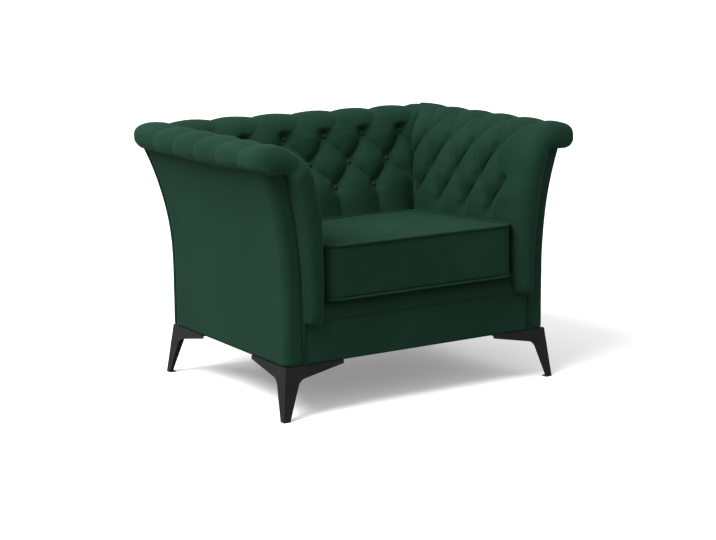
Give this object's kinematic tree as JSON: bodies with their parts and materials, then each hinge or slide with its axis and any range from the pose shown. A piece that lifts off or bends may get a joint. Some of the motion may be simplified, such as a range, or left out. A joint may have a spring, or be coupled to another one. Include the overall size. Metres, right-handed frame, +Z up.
{
  "type": "upholstered chesterfield armchair",
  "caption": "Low-backed tufted armchair with rolled arms and back at one height, a loose box seat cushion and splayed metal corner legs.",
  "frame": {"origin": "on the floor, under the middle of the chair's overall outline", "axes": "+X to the right of someone who faces the chair, +Y to the rear, +Z up"},
  "size_m": [1.1148, 0.7937, 0.7706],
  "materials": {
    "velvet": "deep green cotton velvet",
    "leg_steel": "matte black",
    "glide_plastic": "black",
    "screw_steel": "zinc plated",
    "spring_steel": "oiled",
    "zip_metal": "nickel plated",
    "zip_tape": "woven tape with nylon teeth",
    "foam": "open-cell foam",
    "hessian": "coarse weave",
    "dust_cloth": "thin black non-woven",
    "deck_cloth": "plain lining cloth",
    "beech": "unfinished beech",
    "plywood": "unfinished plywood"
  },
  "bodies": {
    "chair": {"arm_buttons_left": "velvet", "arm_buttons_right": "velvet", "arm_front_piping_left": "velvet", "arm_front_piping_right": "velvet", "arm_front_post_left": "beech", "arm_front_post_right": "beech", "arm_pad_left": "velvet", "arm_pad_right": "velvet", "arm_ribs_left": "plywood", "arm_ribs_right": "plywood", "arm_tack_rail_left": "beech", "arm_tack_rail_right": "beech", "arm_top_rail_left": "beech", "arm_top_rail_right": "beech", "back_buttons": "velvet", "back_pad": "velvet", "back_rail": "beech", "back_ribs": "plywood", "back_tack_rail": "beech", "back_top_rail": "beech", "corner_blocks": "beech", "cross_rail": "beech", "deck_pad": "foam", "dust_cover": "dust_cloth", "frame_screws": "screw_steel", "front_border_cover": "velvet", "front_edge_roll": "velvet", "front_rail": "beech", "leg_front_left": "leg_steel", "leg_front_right": "leg_steel", "leg_glides": "glide_plastic", "leg_rear_left": "leg_steel", "leg_rear_right": "leg_steel", "leg_screws": "screw_steel", "outer_arm_cover_left": "velvet", "outer_arm_cover_right": "velvet", "outer_back_cover": "velvet", "rear_post_left": "beech", "rear_post_right": "beech", "seat_deck_cover": "deck_cloth", "seat_springs": "spring_steel", "side_rail_left": "beech", "side_rail_right": "beech", "spring_clips": "spring_steel", "spring_hessian": "hessian"},
    "seat_cushion": {"seat_cushion_cover": "velvet", "cushion_foam": "foam", "cushion_piping": "velvet", "cushion_zip": "zip_tape"},
    "zip_slider": {"zip_slider": "zip_metal"}
  },
  "joints": [
    {"name": "cushion_lift", "type": "slide", "parent": "chair", "child": "seat_cushion", "axis": [0, 0, 1], "range_m": [0, 0.48]},
    {"name": "zip_slide", "type": "slide", "parent": "seat_cushion", "child": "zip_slider", "axis": [1, 0, 0], "range_m": [0, 0.548]}
  ]
}
